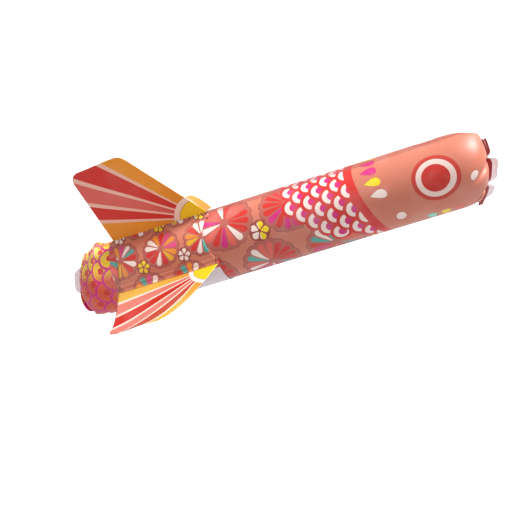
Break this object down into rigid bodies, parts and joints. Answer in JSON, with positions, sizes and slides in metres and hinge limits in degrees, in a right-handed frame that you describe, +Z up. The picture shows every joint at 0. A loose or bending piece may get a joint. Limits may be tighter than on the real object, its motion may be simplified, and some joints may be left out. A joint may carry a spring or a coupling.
{
  "type": "inflatable hand glider",
  "caption": "Inflatable fish-shaped hand glider: an air-filled printed film tube with puckered welded ends, a tail sleeve with flexing film fins, and a plugged filler valve.",
  "frame": {"origin": "on the tube's axis, half way between the two ends of the object, which is the middle of the hand grip", "axes": "+X along the tube to the nose, +Z up along the top fin, the right-hand side fin points to -Y"},
  "size_m": [0.4938, 0.2788, 0.1804],
  "materials": {
    "tube_film": "satin pearl printed film",
    "weld": "satin printed film, welded",
    "clear_film": "clear frosted film",
    "sleeve_film": "satin pearl printed film",
    "foot_film": "satin film, welded",
    "fin_film": "satin printed film",
    "valve_plastic": "soft moulded"
  },
  "bodies": {
    "airframe": {"body_film": "tube_film", "nose_weld": "weld", "nose_flange": "clear_film", "tail_weld": "weld", "tail_flange": "clear_film", "tail_sleeve": "sleeve_film", "sleeve_window": "clear_film", "right_fin_foot": "foot_film", "top_fin_foot": "foot_film", "left_fin_foot": "foot_film", "valve_body": "valve_plastic", "valve_flap": "valve_plastic", "valve_strap": "valve_plastic"},
    "right_fin_body": {"right_fin": "fin_film"},
    "top_fin_body": {"top_fin": "fin_film"},
    "left_fin_body": {"left_fin": "fin_film"},
    "plug_body": {"valve_plug": "valve_plastic"}
  },
  "joints": [
    {"name": "right_fin_flex", "type": "hinge", "parent": "airframe", "child": "right_fin_body", "pos_m": [-0.1205, -0.04512, 0.00474], "axis": [1, 0, 0], "range_deg": [-60, 60], "stiffness_Nm_per_rad": 0.3},
    {"name": "top_fin_flex", "type": "hinge", "parent": "airframe", "child": "top_fin_body", "pos_m": [-0.1205, 0, 0.04536], "axis": [1, 0, 0], "range_deg": [-60, 60], "stiffness_Nm_per_rad": 0.3},
    {"name": "left_fin_flex", "type": "hinge", "parent": "airframe", "child": "left_fin_body", "pos_m": [-0.1205, 0.04512, 0.00474], "axis": [1, 0, 0], "range_deg": [-60, 60], "stiffness_Nm_per_rad": 0.3},
    {"name": "plug_pull", "type": "slide", "parent": "airframe", "child": "plug_body", "axis": [0, 0.848, -0.5299], "range_m": [0, 0.008]}
  ]
}
